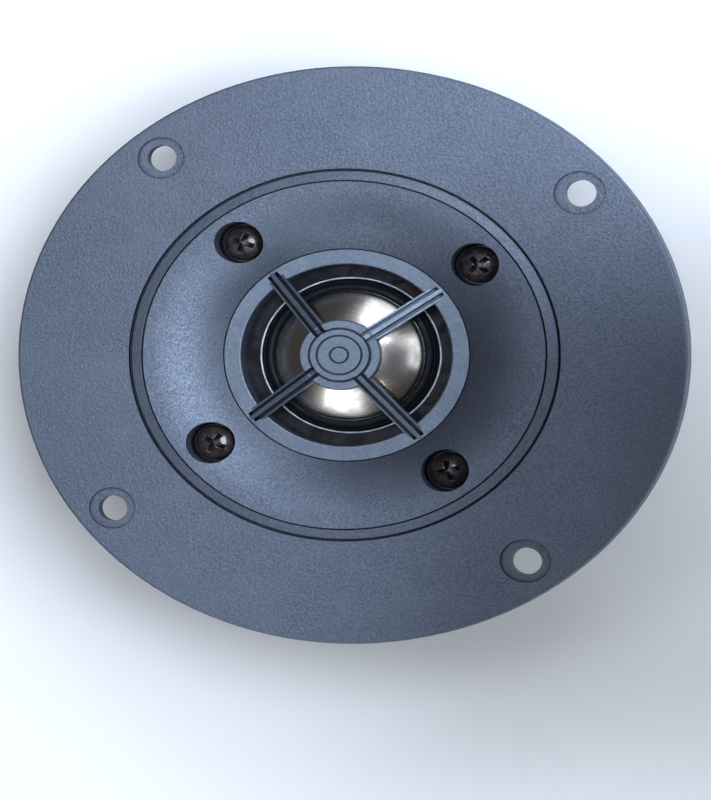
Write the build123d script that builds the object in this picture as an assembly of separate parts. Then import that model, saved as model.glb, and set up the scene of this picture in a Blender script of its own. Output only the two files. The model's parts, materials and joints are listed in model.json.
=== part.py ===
from build123d import *
import os
from math import cos, radians, sin

# A flange-mounted dome tweeter. Millimetres.
# The origin is the centre of the flange's rear face, and +Z points out of the front.
# Every ring is described by radii and heights, and four-fold features lie on the diagonals.

# --- flange and horn (one black moulding) ---
FLANGE_R = 55.0
FLANGE_T = 3.5
FLANGE_EDGE = 0.4                 # round along the front edge
MOUNT_RADIUS = 48.7               # mounting holes, from the axis
MOUNT_HOLE_R = 2.5
MOUNT_SINK_R = 4.05
MOUNT_SINK_DEPTH = 0.7
BAND_OUTER_R = 35.3               # bevelled band round the horn's mouth
BAND_INNER_R = 33.4
BAND_DROP = 0.45                  # how far the band's outer edge lies under the flange face
BAND_GROOVE_W = 0.5
BAND_GROOVE_DEPTH = 1.1
MOUTH_GROOVE_W = 0.3
MOUTH_GROOVE_DEPTH = 0.75
MOUTH_DROP = 0.15
THROAT_R = 20.4
THROAT_DROP = 4.7
BOSS_R = 35.5
BOSS_DEPTH = 7.0                  # the boss's rear face lies on the top plate
DIAGONALS = (45, 135, 225, 315)

# --- assembly screws, front to back ---
SCREW_RADIUS = 27.6
SCREW_SINK_R = 4.0
SCREW_SEAT_Z = -3.0
SCREW_RIM_R = 3.8                 # thin washer rim under the head
SCREW_RIM_T = 0.5
SCREW_HEAD_R = 3.35
SCREW_HEAD_H = 2.4
SCREW_SIDE_H = 0.8                # straight side of the head, before it domes over
CROSS_DEPTH = 1.6
CROSS_ARM = (4.7, 1.0)            # length and width at the top, then at the bottom
CROSS_ARM_LOW = (2.0, 0.55)
SCREW_SHANK_R = 1.95
SCREW_LENGTH = 8.4
SCREW_CLEARANCE_R = 2.2
CROSS_TURNS = (49, -14, -23, 21)  # degrees, as the driver left them

# --- phase guard ---
GUARD_FIT = 0.08                  # gap between the guard and the throat
GUARD_INNER_R = 17.4
GUARD_ROUND = 0.25                # round where the ring's face turns down
GUARD_FACE_Z = FLANGE_T - THROAT_DROP
LEDGE_R = 18.4
LEDGE_Z = -4.2
GUARD_FOOT_Z = -5.4
HUB_R = 6.7
HUB_STEP = 0.4
HUB_RAISED_R = 4.9
HUB_GROOVE_R = 3.7
HUB_DIMPLE_R = 1.5
HUB_GROOVE_W = 0.35
HUB_GROOVE_DEPTH = 0.5
HUB_MOAT_R = HUB_RAISED_R + HUB_GROOVE_W / 2      # groove at the foot of the raised disc
HUB_MOAT_DEPTH = 0.85
HUB_UNDER_Z = 1.25
SPOKE_W = 2.75
RIB_W = 0.75
SPOKE_GROOVE_W = 0.65
SPOKE_GROOVE_DEPTH = 1.25
SPOKE_END_R = 20.0
SPOKE_GROOVE_END_R = 19.7
SPOKE_PLATE_T = 1.2
SPOKE_FOOT_Z = -3.4               # the ribs' lower edge where they meet the ring

# --- diaphragm ---
FRAME_R = 24.0
FRAME_FIT = 0.1
FRAME_INNER_R = 14.2
FRAME_T = 1.2
FRAME_TOP_Z = -BOSS_DEPTH + FRAME_T
TONGUE_W = 14.0
TONGUE_END_Y = -38.0
TONGUE_ROOM = 0.3
DOME_RIM_Z = -4.2
DOME_R = 12.55
DOME_RISE = 4.7
DOME_T = 0.2
FORMER_INNER_R = 12.4
FORMER_END_Z = -14.0
COIL_OUTER_R = 12.92
COIL_TOP_Z = -7.2
COIL_END_Z = -12.0
SURROUND_T = 0.25
SURROUND_OUTER_R = 17.9
ROLL_OUTER_R = 14.6
BEAD_R = 14.85
BEAD_W = 0.35

# --- motor ---
TOP_PLATE_R = 33.0
TOP_PLATE_T = 5.0
GAP_OUTER_R = 13.3
MAGNET_R = 35.0
MAGNET_INNER_R = 16.0
MAGNET_T = 13.0
BACK_PLATE_R = 33.0
BACK_PLATE_T = 5.0
POLE_R = 12.15
POLE_SPIGOT_R = 10.0
POLE_TOP_Z = -7.2
FELT_R = 9.5
FELT_T = 1.3
PIN_R = 1.0
PIN_RADIUS = 21.0

# --- terminals, under the flange on the -Y side ---
BOARD_Y = -39.3
BOARD_L = 30.0
BOARD_W = 6.0
BOARD_T = 1.0
PAD_T = 0.5                       # moulded pad on the flange that carries the board
PAD_MARGIN = 0.3
RIVET_X = 12.4
RIVET_R = 1.25
RIVET_HEAD_R = 2.0
RIVET_HEAD_H = 0.7
RIVET_GRIP = 1.8
TERMINAL_X = 5.0
TERMINAL_T = 0.8
FOOT_W = 4.8
BLADE_L = 8.0
POSITIVE_BLADE_W = 4.75
NEGATIVE_BLADE_W = 2.8
STUD_R = 0.9
EYELET_X = 4.5
EYELET_Y = -36.7
LEAD_R = 0.45
WIRE_R = 0.12

BOARD_TOP_Z = -PAD_T
BOARD_LOW_Z = BOARD_TOP_Z - BOARD_T
TOP_PLATE_Z = -BOSS_DEPTH
MAGNET_Z = TOP_PLATE_Z - TOP_PLATE_T
BACK_PLATE_Z = MAGNET_Z - MAGNET_T
REAR_Z = BACK_PLATE_Z - BACK_PLATE_T


def turned(*corners):
    """A solid of revolution about Z through (radius, height) corners.

    A corner with two more numbers is reached by an arc through that middle point, and the
    first corner is reached last, where the outline closes.
    """
    edges = []
    here = corners[0][:2]
    for corner in corners[1:] + corners[:1]:
        there = corner[:2]
        start, end = Vector(here[0], 0, here[1]), Vector(there[0], 0, there[1])
        if len(corner) == 4:
            edges.append(Edge.make_three_point_arc(start, Vector(corner[2], 0, corner[3]), end))
        else:
            edges.append(Edge.make_line(start, end))
        here = there
    return revolve(Face(Wire(edges)), Axis.Z, 360)


def disc(radius, low, high, x=0.0, y=0.0):
    """A plain cylinder between two heights."""
    return Pos(x, y, (low + high) / 2) * Cylinder(radius, high - low)


def block(low, high):
    """A box between two opposite corners."""
    size = [b - a for a, b in zip(low, high)]
    middle = [(a + b) / 2 for a, b in zip(low, high)]
    return Pos(*middle) * Box(*size)


def on_diagonals(piece, radius):
    """Copies of a piece made on the axis, moved out along +X and turned to each diagonal."""
    return [Rot(0, 0, angle) * Pos(radius, 0, 0) * piece for angle in DIAGONALS]


def sideways(points, width):
    """A plate outlined by (x, z) points, standing along X and centred on it."""
    face = Face(Wire.make_polygon([Vector(x, 0, z) for x, z in points]))
    return Pos(0, width / 2, 0) * extrude(face, width, dir=(0, -1, 0))


def horn_height(radius):
    """Height of the horn's surface: an arc that leaves the mouth level and steepens to the throat."""
    mouth_r = BAND_INNER_R - MOUTH_GROOVE_W
    run = mouth_r - THROAT_R
    fall = THROAT_DROP - MOUTH_DROP
    bend = (run * run + fall * fall) / (2 * fall)
    return FLANGE_T - MOUTH_DROP - bend + (bend * bend - (mouth_r - radius) ** 2) ** 0.5


def make_faceplate():
    top = FLANGE_T
    mouth_r = BAND_INNER_R - MOUTH_GROOVE_W
    middle_r = (mouth_r + THROAT_R) / 2
    groove_r = BAND_OUTER_R + BAND_GROOVE_W / 2
    edge = FLANGE_EDGE
    body = turned(
        (THROAT_R, LEDGE_Z),
        (THROAT_R, GUARD_FACE_Z),
        (mouth_r, top - MOUTH_DROP, middle_r, horn_height(middle_r)),
        (mouth_r, top - MOUTH_GROOVE_DEPTH),
        (BAND_INNER_R, top - MOUTH_GROOVE_DEPTH),
        (BAND_INNER_R, top - MOUTH_DROP),
        (groove_r - BAND_GROOVE_W, top - BAND_DROP),
        (groove_r - BAND_GROOVE_W, top - BAND_GROOVE_DEPTH),
        (groove_r, top - BAND_GROOVE_DEPTH),
        (groove_r, top),
        (FLANGE_R - edge, top),
        (FLANGE_R, top - edge, FLANGE_R - edge * 0.3, top - edge * 0.3),
        (FLANGE_R, 0),
        (BOSS_R, 0),
        (BOSS_R, -BOSS_DEPTH),
        (FRAME_R + FRAME_FIT, -BOSS_DEPTH),
        (FRAME_R + FRAME_FIT, FRAME_TOP_Z + FRAME_FIT),
        (LEDGE_R, FRAME_TOP_Z + FRAME_FIT),
        (LEDGE_R, LEDGE_Z),
    )
    pad_x = BOARD_L / 2 + PAD_MARGIN
    pad_y = BOARD_W / 2 + PAD_MARGIN
    body = body + block((-pad_x, BOARD_Y - pad_y, -PAD_T), (pad_x, -BOSS_R + 2, 0.5))
    cuts = on_diagonals(disc(MOUNT_HOLE_R, -1, top + 1), MOUNT_RADIUS)
    cuts += on_diagonals(disc(MOUNT_SINK_R, top - MOUNT_SINK_DEPTH, top + 1), MOUNT_RADIUS)
    cuts += on_diagonals(disc(SCREW_SINK_R, SCREW_SEAT_Z, top + 1), SCREW_RADIUS)
    cuts += on_diagonals(disc(SCREW_CLEARANCE_R, -BOSS_DEPTH - 1, top), SCREW_RADIUS)
    half = TONGUE_W / 2 + TONGUE_ROOM
    notch_top = FRAME_TOP_Z + 2 * TONGUE_ROOM
    cuts.append(block((-half, -BOSS_R - 1, -BOSS_DEPTH - 1), (half, -LEDGE_R - 2, notch_top)))
    for x in (-RIVET_X, RIVET_X):
        cuts.append(disc(RIVET_R, -PAD_T - 1, RIVET_GRIP, x, BOARD_Y))
    return body - cuts


def make_phase_guard():
    outer = THROAT_R - GUARD_FIT
    face = GUARD_FACE_Z
    easing = 0.15
    bite = GUARD_ROUND * 0.3
    ring = turned(
        (GUARD_INNER_R, GUARD_FOOT_Z),
        (LEDGE_R - GUARD_FIT, GUARD_FOOT_Z),
        (LEDGE_R - GUARD_FIT, LEDGE_Z),
        (outer, LEDGE_Z),
        (outer, face - easing),
        (outer - easing, face),
        (GUARD_INNER_R + GUARD_ROUND, face),
        (GUARD_INNER_R, face - GUARD_ROUND, GUARD_INNER_R + bite, face - bite),
    )
    low = FLANGE_T - HUB_STEP
    hub = turned(
        (0, HUB_UNDER_Z),
        (HUB_R - 0.3, HUB_UNDER_Z),
        (HUB_R, HUB_UNDER_Z + 0.3),
        (HUB_R, low - 0.2),
        (HUB_R - 0.2, low),
        (HUB_RAISED_R, low),
        (HUB_RAISED_R, FLANGE_T - 0.1),
        (HUB_RAISED_R - 0.1, FLANGE_T),
        (0, FLANGE_T),
    )
    slope = THROAT_DROP / (SPOKE_END_R - HUB_RAISED_R)
    start = HUB_GROOVE_R + HUB_GROOVE_W

    def crest(x, under=0.0):
        return x, FLANGE_T - slope * (x - HUB_RAISED_R) - under

    rib = sideways(
        [(start, FLANGE_T), crest(HUB_RAISED_R), crest(SPOKE_END_R), (SPOKE_END_R, SPOKE_FOOT_Z),
         (GUARD_INNER_R + 0.4, SPOKE_FOOT_Z), (HUB_R - 0.7, HUB_UNDER_Z), (start, HUB_UNDER_Z)], RIB_W)
    under = HUB_STEP + SPOKE_PLATE_T
    plate = sideways(
        [crest(HUB_RAISED_R, HUB_STEP), crest(SPOKE_END_R, HUB_STEP),
         crest(SPOKE_END_R, under), crest(HUB_RAISED_R, under)], SPOKE_W)
    bottom = SPOKE_GROOVE_DEPTH
    groove = sideways(
        [crest(HUB_RAISED_R, -2), crest(SPOKE_GROOVE_END_R, -2),
         crest(SPOKE_GROOVE_END_R, bottom), crest(HUB_RAISED_R, bottom)], SPOKE_GROOVE_W)
    groove_y = RIB_W / 2 + SPOKE_GROOVE_W / 2
    grooves = [Pos(0, groove_y, 0) * groove, Pos(0, -groove_y, 0) * groove]
    guard = ring + hub
    for angle in DIAGONALS:
        guard = guard + Rot(0, 0, angle) * (rib + plate)
    for angle in DIAGONALS:
        guard = guard - [Rot(0, 0, angle) * piece for piece in grooves]
    circles = (
        (HUB_DIMPLE_R, HUB_GROOVE_DEPTH),
        (HUB_GROOVE_R, HUB_GROOVE_DEPTH),
        (HUB_MOAT_R, HUB_MOAT_DEPTH),
    )
    for radius, depth in circles:
        near, far = radius - HUB_GROOVE_W / 2, radius + HUB_GROOVE_W / 2
        floor = FLANGE_T - depth
        guard = guard - turned((near, floor), (far, floor), (far, FLANGE_T + 1), (near, FLANGE_T + 1))
    return guard


def make_screw(turn):
    """A cross-recess pan-head screw, seated at SCREW_SEAT_Z on the axis."""
    seat = SCREW_SEAT_Z
    top = seat + SCREW_HEAD_H
    brim = seat + SCREW_RIM_T
    shoulder = brim + SCREW_SIDE_H
    tip = seat - SCREW_LENGTH
    body = turned(
        (0, tip),
        (SCREW_SHANK_R - 0.5, tip),
        (SCREW_SHANK_R, tip + 0.6),
        (SCREW_SHANK_R, seat),
        (SCREW_RIM_R, seat),
        (SCREW_RIM_R, brim - 0.1),
        (SCREW_RIM_R - 0.1, brim),
        (SCREW_HEAD_R, brim),
        (SCREW_HEAD_R - 0.15, shoulder),
        (0, top, SCREW_HEAD_R * 0.62, top - 0.33),
    )
    for arm in (0, 90):
        wide = Pos(0, 0, top + 0.1) * Rectangle(*CROSS_ARM)
        narrow = Pos(0, 0, top - CROSS_DEPTH) * Rectangle(*CROSS_ARM_LOW)
        recess = loft([wide, narrow])
        body = body - Rot(0, 0, turn + arm) * recess
    return body


def make_assembly_screws():
    screws = []
    for angle, turn in zip(DIAGONALS, CROSS_TURNS):
        x, y = SCREW_RADIUS * cos(radians(angle)), SCREW_RADIUS * sin(radians(angle))
        screws.append(Pos(x, y, 0) * make_screw(turn))
    return Compound(children=screws)


def make_diaphragm_frame():
    low = -BOSS_DEPTH
    ring = turned((FRAME_INNER_R, low), (FRAME_R, low), (FRAME_R, FRAME_TOP_Z), (FRAME_INNER_R, FRAME_TOP_Z))
    half = TONGUE_W / 2
    frame = ring + block((-half, TONGUE_END_Y, low), (half, -FRAME_INNER_R - 6, FRAME_TOP_Z))
    for x in (-EYELET_X, EYELET_X):
        frame = frame - disc(STUD_R, low - 1, FRAME_TOP_Z + 1, x, EYELET_Y)
        frame = frame - block((x - 0.3, EYELET_Y + 1.2, FRAME_TOP_Z - 0.45), (x + 0.3, -12, FRAME_TOP_Z + 1))
    for angle in (0, 180):
        frame = frame - Rot(0, 0, angle) * disc(PIN_R, low - 1, FRAME_TOP_Z + 1, PIN_RADIUS)
    return frame


def make_locating_pins():
    pin = disc(PIN_R, TOP_PLATE_Z - 3, FRAME_TOP_Z - 0.1, PIN_RADIUS)
    return Compound(children=[pin, Rot(0, 0, 180) * pin])


def dome_height(radius, inset=0.0):
    """Height of the dome's outer skin, or of its inner skin at the given inset."""
    bend = (DOME_R ** 2 + DOME_RISE ** 2) / (2 * DOME_RISE)
    return DOME_RIM_Z + DOME_RISE - bend + ((bend - inset) ** 2 - radius ** 2) ** 0.5


def make_dome():
    inner_r = DOME_R - 0.26
    return turned(
        (inner_r, DOME_RIM_Z, inner_r / 2, dome_height(inner_r / 2, DOME_T)),
        (DOME_R, DOME_RIM_Z),
        (0, dome_height(0), DOME_R / 2, dome_height(DOME_R / 2)),
        (0, dome_height(0, DOME_T)),
    )


def make_surround():
    low = FRAME_TOP_Z + 0.02
    inner_r = DOME_R + 0.01
    return turned(
        (inner_r, DOME_RIM_Z - 0.55, 13.5, DOME_RIM_Z - 0.28),
        (inner_r, DOME_RIM_Z - 0.05),
        (ROLL_OUTER_R, low + SURROUND_T, 13.7, DOME_RIM_Z + 0.05),
        (SURROUND_OUTER_R, low + SURROUND_T),
        (SURROUND_OUTER_R, low),
        (ROLL_OUTER_R - 0.25, low),
    )


def make_surround_bead():
    low = FRAME_TOP_Z + 0.04 + SURROUND_T
    near, far = BEAD_R - BEAD_W / 2, BEAD_R + BEAD_W / 2
    high = low + 0.2
    return turned((near, low), (far, low), (far - 0.05, high), (near + 0.05, high))


def make_coil_former():
    low, high = FORMER_END_Z, DOME_RIM_Z
    return turned((FORMER_INNER_R, low), (DOME_R, low), (DOME_R, high), (FORMER_INNER_R, high))


def make_coil_winding():
    low, high = COIL_END_Z, COIL_TOP_Z
    return turned((DOME_R, low), (COIL_OUTER_R, low), (COIL_OUTER_R, high), (DOME_R, high))


def make_coil_leads():
    """Fine wires from the coil's top, under the surround and along the tongue to the eyelets."""
    wires = []
    height = FRAME_TOP_Z - 0.25
    reach = DOME_R + 0.05
    for side in (-1, 1):
        x = side * EYELET_X
        inner_y = -((reach + WIRE_R) ** 2 - EYELET_X ** 2) ** 0.5 - 0.1
        length = inner_y - (EYELET_Y + 1.3)
        wires.append(Pos(x, inner_y - length / 2, height) * Rot(90, 0, 0) * Cylinder(WIRE_R, length))
    return Compound(children=wires)


def make_lead_eyelets():
    eyelets = []
    for x in (-EYELET_X, EYELET_X):
        top, low = FRAME_TOP_Z, -BOSS_DEPTH
        eyelet = turned(
            (0.5, low - 0.2), (1.3, low - 0.2), (1.3, low), (STUD_R, low),
            (STUD_R, top), (1.3, top), (1.3, top + 0.2), (0.5, top + 0.2))
        eyelets.append(Pos(x, EYELET_Y, 0) * eyelet)
    return Compound(children=eyelets)


def make_top_plate():
    low, high = MAGNET_Z, TOP_PLATE_Z
    edge = 0.4
    plate = turned(
        (GAP_OUTER_R, low),
        (TOP_PLATE_R, low),
        (TOP_PLATE_R, high - edge),
        (TOP_PLATE_R - edge, high),
        (GAP_OUTER_R, high),
    )
    cuts = on_diagonals(disc(SCREW_SHANK_R, low - 1, high + 1), SCREW_RADIUS)
    for angle in (0, 180):
        cuts.append(Rot(0, 0, angle) * disc(PIN_R, TOP_PLATE_Z - 3, high + 1, PIN_RADIUS))
    return plate - cuts


def make_ferrite_magnet():
    low, high = BACK_PLATE_Z, MAGNET_Z
    edge = 0.8
    return turned(
        (MAGNET_INNER_R, low),
        (MAGNET_R - edge, low),
        (MAGNET_R, low + edge),
        (MAGNET_R, high - edge),
        (MAGNET_R - edge, high),
        (MAGNET_INNER_R, high),
    )


def make_back_plate():
    low, high = REAR_Z, BACK_PLATE_Z
    edge = 0.5
    return turned(
        (POLE_SPIGOT_R, low),
        (BACK_PLATE_R - edge, low),
        (BACK_PLATE_R, low + edge),
        (BACK_PLATE_R, high),
        (POLE_SPIGOT_R, high),
    )


def make_pole_piece():
    """Steel core, staked into the back plate, with a small crater where the staking punch struck."""
    crater = 4.0
    return turned(
        (0, REAR_Z + 0.8),
        (crater - 0.8, REAR_Z + 0.8),
        (crater, REAR_Z + 0.1),
        (POLE_SPIGOT_R, REAR_Z + 0.1),
        (POLE_SPIGOT_R, BACK_PLATE_Z),
        (POLE_R, BACK_PLATE_Z),
        (POLE_R, POLE_TOP_Z - 0.4),
        (POLE_R - 0.4, POLE_TOP_Z),
        (0, POLE_TOP_Z),
    )


def make_damping_felt():
    return disc(FELT_R, POLE_TOP_Z, POLE_TOP_Z + FELT_T)


def make_terminal_board():
    half_l, half_w = BOARD_L / 2, BOARD_W / 2
    board = block((-half_l, BOARD_Y - half_w, BOARD_LOW_Z), (half_l, BOARD_Y + half_w, BOARD_TOP_Z))
    board = fillet(board.edges().filter_by(Axis.Z), 1.0)
    for x in (-RIVET_X, RIVET_X):
        board = board - disc(RIVET_R, BOARD_LOW_Z - 1, 1, x, BOARD_Y)
    for x in (-TERMINAL_X, TERMINAL_X):
        board = board - disc(STUD_R, BOARD_LOW_Z - 1, 1, x, BOARD_Y)
    return board


def make_board_rivets():
    rivets = []
    for x in (-RIVET_X, RIVET_X):
        low = BOARD_LOW_Z - RIVET_HEAD_H
        rivet = turned(
            (0, low),
            (RIVET_HEAD_R - 0.4, low),
            (RIVET_HEAD_R, BOARD_LOW_Z, RIVET_HEAD_R - 0.12, low + 0.3),
            (RIVET_R, BOARD_LOW_Z),
            (RIVET_R, RIVET_GRIP),
            (0, RIVET_GRIP),
        )
        rivets.append(Pos(x, BOARD_Y, 0) * rivet)
    return Compound(children=rivets)


def make_terminal(x, blade_w):
    """A spade terminal: a foot flat on the board, and a blade that points to the rear."""
    top = BOARD_LOW_Z
    outer_y = BOARD_Y - BOARD_W / 2 + 0.3
    half = FOOT_W / 2
    foot = block((x - half, outer_y, top - TERMINAL_T), (x + half, BOARD_Y + BOARD_W / 2 - 0.6, top))
    end = top - TERMINAL_T - BLADE_L
    blade = block((x - blade_w / 2, outer_y, end), (x + blade_w / 2, outer_y + TERMINAL_T, top))
    blade = chamfer(blade.faces().sort_by(Axis.Z)[0].edges(), 0.25)
    eye = Pos(x, outer_y, end + 2.2) * Rot(90, 0, 0) * Cylinder(0.8, 4)
    return foot + blade - eye - disc(STUD_R, top - TERMINAL_T - 1, top + 1, x, BOARD_Y)


def make_terminal_studs():
    """Small rivets that hold the terminals to the board."""
    studs = []
    low = BOARD_LOW_Z - TERMINAL_T
    for x in (-TERMINAL_X, TERMINAL_X):
        stud = turned(
            (0, low - 0.5),
            (0.9, low - 0.5),
            (1.25, low),
            (STUD_R, low),
            (STUD_R, BOARD_TOP_Z),
            (0, BOARD_TOP_Z),
        )
        studs.append(Pos(x, BOARD_Y, 0) * stud)
    return Compound(children=studs)


def make_polarity_dot():
    return disc(0.95, BOARD_LOW_Z - 0.12, BOARD_LOW_Z, TERMINAL_X + FOOT_W / 2 + 1.2, BOARD_Y - 1.5)


def lead_ends(side):
    """Where a lead meets its eyelet and its terminal's foot."""
    eyelet = Vector(side * EYELET_X, EYELET_Y - 0.2, FRAME_TOP_Z + 0.65)
    foot = Vector(side * TERMINAL_X, BOARD_Y + BOARD_W / 2 - 1.0, BOARD_LOW_Z - TERMINAL_T - 0.5)
    return eyelet, foot


def make_lead(side):
    """A braided lead that bows outward between an eyelet and a terminal."""
    eyelet, foot = lead_ends(side)
    belly = (eyelet + foot) * 0.5 + Vector(0, -1.3, 0)
    path = Edge.make_three_point_arc(eyelet, belly, foot)
    section = Plane(origin=eyelet, z_dir=path.tangent_at(0)) * Circle(LEAD_R)
    return sweep(section, path=path)


def make_solder_joints():
    joints = []
    for side in (-1, 1):
        eyelet, foot = lead_ends(side)
        base = FRAME_TOP_Z + 0.2
        mound = turned((0, base), (1.05, base), (0, base + 1.0, 0.75, base + 0.6))
        joints.append(Pos(eyelet.X, EYELET_Y, 0) * mound)
        base = BOARD_LOW_Z - TERMINAL_T
        mound = turned((0, base - 0.9), (0.7, base, 0.55, base - 0.6), (0, base))
        joints.append(Pos(foot.X, foot.Y, 0) * mound)
    return Compound(children=[joint - [make_lead(-1), make_lead(1)] for joint in joints])


PARTS = {
    "faceplate": make_faceplate(),
    "phase_guard": make_phase_guard(),
    "assembly_screws": make_assembly_screws(),
    "diaphragm_frame": make_diaphragm_frame(),
    "locating_pins": make_locating_pins(),
    "dome": make_dome(),
    "surround": make_surround(),
    "surround_bead": make_surround_bead(),
    "coil_former": make_coil_former(),
    "coil_winding": make_coil_winding(),
    "coil_leads": make_coil_leads(),
    "lead_eyelets": make_lead_eyelets(),
    "damping_felt": make_damping_felt(),
    "top_plate": make_top_plate(),
    "ferrite_magnet": make_ferrite_magnet(),
    "back_plate": make_back_plate(),
    "pole_piece": make_pole_piece(),
    "terminal_board": make_terminal_board(),
    "board_rivets": make_board_rivets(),
    "positive_terminal": make_terminal(TERMINAL_X, POSITIVE_BLADE_W),
    "negative_terminal": make_terminal(-TERMINAL_X, NEGATIVE_BLADE_W),
    "terminal_studs": make_terminal_studs(),
    "polarity_dot": make_polarity_dot(),
    "positive_lead": make_lead(1),
    "negative_lead": make_lead(-1),
    "solder_joints": make_solder_joints(),
}

os.makedirs("parts", exist_ok=True)
for name, shape in PARTS.items():
    export_step(shape, f"parts/{name}.step")
    print(f"{name}: {shape.volume:.1f} mm3")
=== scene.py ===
# %% [markdown]
# # A dome tweeter, finished in Blender
# The engineering model of a small loudspeaker arrives with every part in place: a black
# flange with a shallow horn, a cross-shaped guard, a metal dome and a ring-magnet motor.
# This lesson gives each part the surface it has on the bench. The soft pieces and the
# pieces that look too plain as machined solids are made again as finer meshes.

# %% Load the frame
import json
import math
import bmesh
import bpy
from mathutils import Matrix, Vector, noise


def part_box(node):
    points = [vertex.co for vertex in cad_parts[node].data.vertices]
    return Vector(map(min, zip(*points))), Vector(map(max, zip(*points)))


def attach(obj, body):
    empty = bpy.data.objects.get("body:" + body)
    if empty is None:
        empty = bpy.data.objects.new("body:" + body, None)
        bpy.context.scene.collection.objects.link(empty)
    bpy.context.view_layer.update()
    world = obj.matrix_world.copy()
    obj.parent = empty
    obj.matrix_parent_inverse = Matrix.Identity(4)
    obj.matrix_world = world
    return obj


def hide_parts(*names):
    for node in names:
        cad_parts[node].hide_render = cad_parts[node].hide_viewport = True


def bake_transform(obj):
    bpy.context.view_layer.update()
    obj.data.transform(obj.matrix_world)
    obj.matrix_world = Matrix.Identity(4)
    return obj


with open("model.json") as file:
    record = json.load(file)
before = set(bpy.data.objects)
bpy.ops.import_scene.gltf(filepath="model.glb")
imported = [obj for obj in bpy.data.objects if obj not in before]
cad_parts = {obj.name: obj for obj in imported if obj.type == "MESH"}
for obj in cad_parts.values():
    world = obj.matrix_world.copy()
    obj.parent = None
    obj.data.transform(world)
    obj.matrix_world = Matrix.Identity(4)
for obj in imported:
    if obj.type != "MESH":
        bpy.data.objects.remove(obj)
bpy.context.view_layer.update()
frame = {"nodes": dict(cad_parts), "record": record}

nodes = frame["nodes"]

# %% [markdown]
# ## Measures
# Everything is placed from the parts themselves, so a changed part moves its finish with
# it. Only a few heights and radii are needed again and again, and they get names here.

# %% Named measures, in metres
MM = 0.001
FRONT_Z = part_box("faceplate")[1].z
FLOOR_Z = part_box("back_plate")[0].z
FLANGE_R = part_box("faceplate")[1].x
print("front face at", round(FRONT_Z / MM, 2), "mm, flange radius", round(FLANGE_R / MM, 1), "mm")

# %% [markdown]
# ## Camera
# The tweeter is seen from the right of its axis, eleven and a half degrees off. It looks
# wider than it is high, although a round flange seen almost straight on should look round.
# A view camera does this when its film is swung away from the lens: the line of sight stays
# where it is, and the picture stretches sideways. Blender's camera has no swing of its own,
# so a parent inverse with the film's axes and the line of sight gives it one. The lens shift
# stays at zero.

# %% Camera with a swung film plane
AIM = Vector((3.74 * MM, -8.15 * MM, FRONT_Z))
DISTANCE = 1.0863
SIGHT_OFF_AXIS = math.radians(11.50)
SIGHT_TURN = math.radians(8.88)
FILM_SWING = math.radians(43.92)
FILM_TURN = math.radians(7.07)
LENS_MM = 257.1


def off_axis(tilt, turn):
    """The direction that leaves +Z by a tilt, towards a turn about Z."""
    return Vector((math.sin(tilt) * math.cos(turn), math.sin(tilt) * math.sin(turn), math.cos(tilt)))


sight = off_axis(SIGHT_OFF_AXIS, SIGHT_TURN)
film_normal = off_axis(FILM_SWING, FILM_TURN)
film_up = Vector((-math.sin(FILM_TURN), math.cos(FILM_TURN), 0))
film_right = film_up.cross(film_normal)
stand = bpy.data.objects.new("camera_stand", None)
bpy.context.scene.collection.objects.link(stand)
camera_data = bpy.data.cameras.new("camera")
camera_data.lens = LENS_MM
camera_data.clip_start, camera_data.clip_end = 0.05, 20
camera = bpy.data.objects.new("camera", camera_data)
bpy.context.scene.collection.objects.link(camera)
camera.parent = stand
swung = Matrix((film_right, film_up, sight)).transposed().to_4x4()
swung.translation = AIM + sight * DISTANCE
camera.matrix_parent_inverse = swung
bpy.context.scene.camera = camera
print("camera", round(math.degrees(SIGHT_OFF_AXIS), 1), "degrees off the axis")

# %% [markdown]
# ## Light and floor
# Black plastic shows almost nothing but the light that slides off its grain, so the lights
# are what give this tweeter its shape. A skylight hangs overhead and to the right, and slides
# down the left of the horn. A window stands far to the right, one pale surface lies beyond
# the top and a low one below, the ceiling fills the flat face of the flange, and a small lamp
# puts the bright points on the screws. The left stays dim and a little warm, which is what a
# metal dome needs to look like metal. The plain room colour is what the eye sees behind the
# floor, while only a weak, warm part of it falls on the parts.

# %% Room light
ROOM_STRENGTH = 0.07
scene_view = bpy.context.scene.view_settings
scene_view.view_transform = "Standard"
world = bpy.data.worlds.new("room")
bpy.context.scene.world = world
world.use_nodes = True
room = world.node_tree
seen = room.nodes["Background"]
seen.inputs["Color"].default_value = (0.93, 0.94, 0.95, 1)
felt_light = room.nodes.new("ShaderNodeBackground")
felt_light.inputs["Color"].default_value = (0.95, 0.90, 0.88, 1)
felt_light.inputs["Strength"].default_value = ROOM_STRENGTH
chooser = room.nodes.new("ShaderNodeMixShader")
eye = room.nodes.new("ShaderNodeLightPath")
room.links.new(eye.outputs["Is Camera Ray"], chooser.inputs["Fac"])
room.links.new(felt_light.outputs["Background"], chooser.inputs[1])
room.links.new(seen.outputs["Background"], chooser.inputs[2])
room.links.new(chooser.outputs["Shader"], room.nodes["World Output"].inputs["Surface"])
print("room light", ROOM_STRENGTH)


# %% Lamps
def soft_light(name, stands_at, size, radiance, colour):
    """A square area light at a place, facing the tweeter, as bright as a surface of that radiance."""
    data = bpy.data.lights.new(name, "AREA")
    data.size = size
    data.energy = radiance * math.pi * size * size
    data.color = colour
    light = bpy.data.objects.new(name, data)
    bpy.context.scene.collection.objects.link(light)
    light.location = stands_at
    light.rotation_mode = "QUATERNION"
    light.rotation_quaternion = Vector(stands_at).to_track_quat("Z", "Y")


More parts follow.
